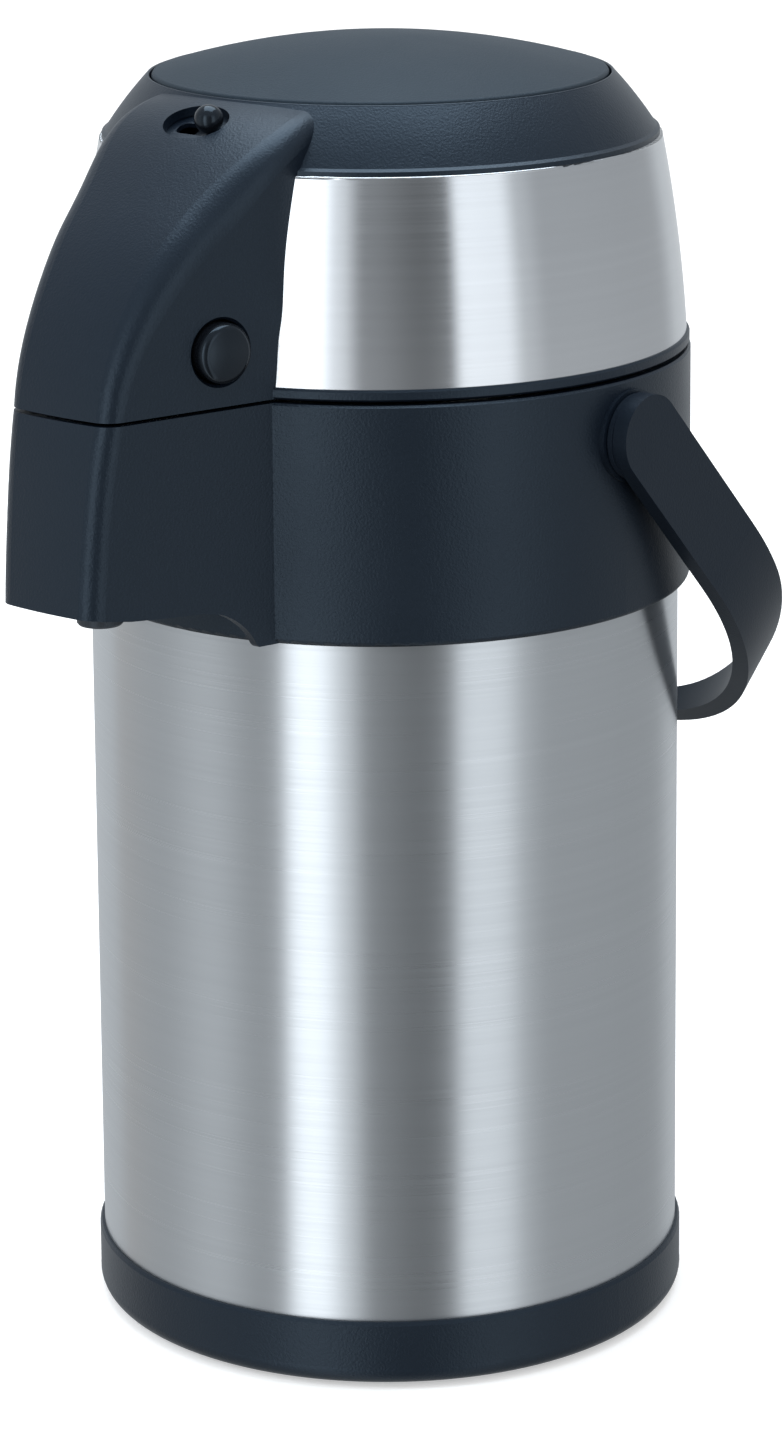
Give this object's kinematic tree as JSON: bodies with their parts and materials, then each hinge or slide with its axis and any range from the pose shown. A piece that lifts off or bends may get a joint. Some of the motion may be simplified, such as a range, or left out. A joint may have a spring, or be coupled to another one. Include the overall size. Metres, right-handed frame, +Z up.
{
  "type": "thermal coffee airpot",
  "caption": "Steel vacuum airpot with a black hinged pump lid, hooded spout, release buttons, sliding lock and swinging carrying handle",
  "frame": {"origin": "centre of the non-slip pad's underside, on the table", "axes": "+Z up the flask, -Y out through the spout, +X along the handle's pivots"},
  "size_m": [0.185, 0.2316, 0.3595],
  "materials": {
    "steel_body": "brushed round the flask, satin",
    "steel_band": "brushed round the lid, satin",
    "steel_inner": "smooth drawn stainless steel",
    "black_shell": "black with a fine moulded grain",
    "black_plate": "black with a matt fine grain",
    "black_gloss": "glossy black",
    "black_handle": "black satin",
    "inner_plastic": "dark grey, plain moulded",
    "white_plastic": "white, food grade",
    "grey_rubber": "soft dark grey rubber",
    "silicone": "milky silicone",
    "zinc_steel": "zinc plated",
    "spring_steel": "drawn stainless wire"
  },
  "bodies": {
    "pot": {"foot_ring": "black_shell", "base_pad": "grey_rubber", "outer_shell": "steel_body", "shell_shoulder": "steel_inner", "shell_bottom": "steel_inner", "vacuum_plug": "zinc_steel", "inner_liner": "steel_inner", "liner_neck": "steel_inner", "neck_seal": "silicone", "throat_ring": "inner_plastic", "neck_deck": "inner_plastic", "deck_screws": "zinc_steel", "collar": "black_shell", "guard_floor": "black_shell", "hinge_pin": "zinc_steel", "handle_pivot_pins": "zinc_steel", "delivery_pipe": "steel_inner", "spout_nozzle": "inner_plastic", "tube_coupling": "white_plastic", "dip_tube": "white_plastic"},
    "lid": {"lid_shell": "black_shell", "lid_band": "steel_band", "lid_floor": "inner_plastic", "lid_screws": "zinc_steel", "neck_gasket": "silicone", "delivery_flap": "silicone", "bellows": "silicone", "return_spring": "spring_steel", "lock_guide": "black_shell"},
    "pump": {"press_plate": "black_plate", "spring_cup": "white_plastic", "inlet_valve": "silicone"},
    "lock": {"lock_slider": "black_gloss"},
    "release_right": {"release_button_right": "black_gloss"},
    "release_left": {"release_button_left": "black_gloss"},
    "bail": {"handle": "black_handle"}
  },
  "joints": [
    {"name": "lid_hinge", "type": "hinge", "parent": "pot", "child": "lid", "pos_m": [0, 0.091, 0.2735], "axis": [-1, 0, 0], "range_deg": [0, 85]},
    {"name": "pump_stroke", "type": "slide", "parent": "lid", "child": "pump", "axis": [0, 0, -1], "range_m": [0, 0.02], "stiffness_N_per_m": 900, "springref_m": -0.004, "deforming": ["bellows", "return_spring"]},
    {"name": "lock_slide", "type": "slide", "parent": "lid", "child": "lock", "axis": [-1, 0, 0], "range_m": [0, 0.01]},
    {"name": "release_right_press", "type": "slide", "parent": "lid", "child": "release_right", "axis": [-0.9701, 0.2425, 0], "range_m": [0, 0.0035], "stiffness_N_per_m": 600, "springref_m": -0.001},
    {"name": "release_left_press", "type": "slide", "parent": "lid", "child": "release_left", "axis": [0.9701, 0.2425, 0], "range_m": [0, 0.0035], "stiffness_N_per_m": 600, "springref_m": -0.001},
    {"name": "handle_swing", "type": "hinge", "parent": "pot", "child": "bail", "pos_m": [0, 0.0015, 0.259], "axis": [1, 0, 0], "range_deg": [0, 180]}
  ]
}
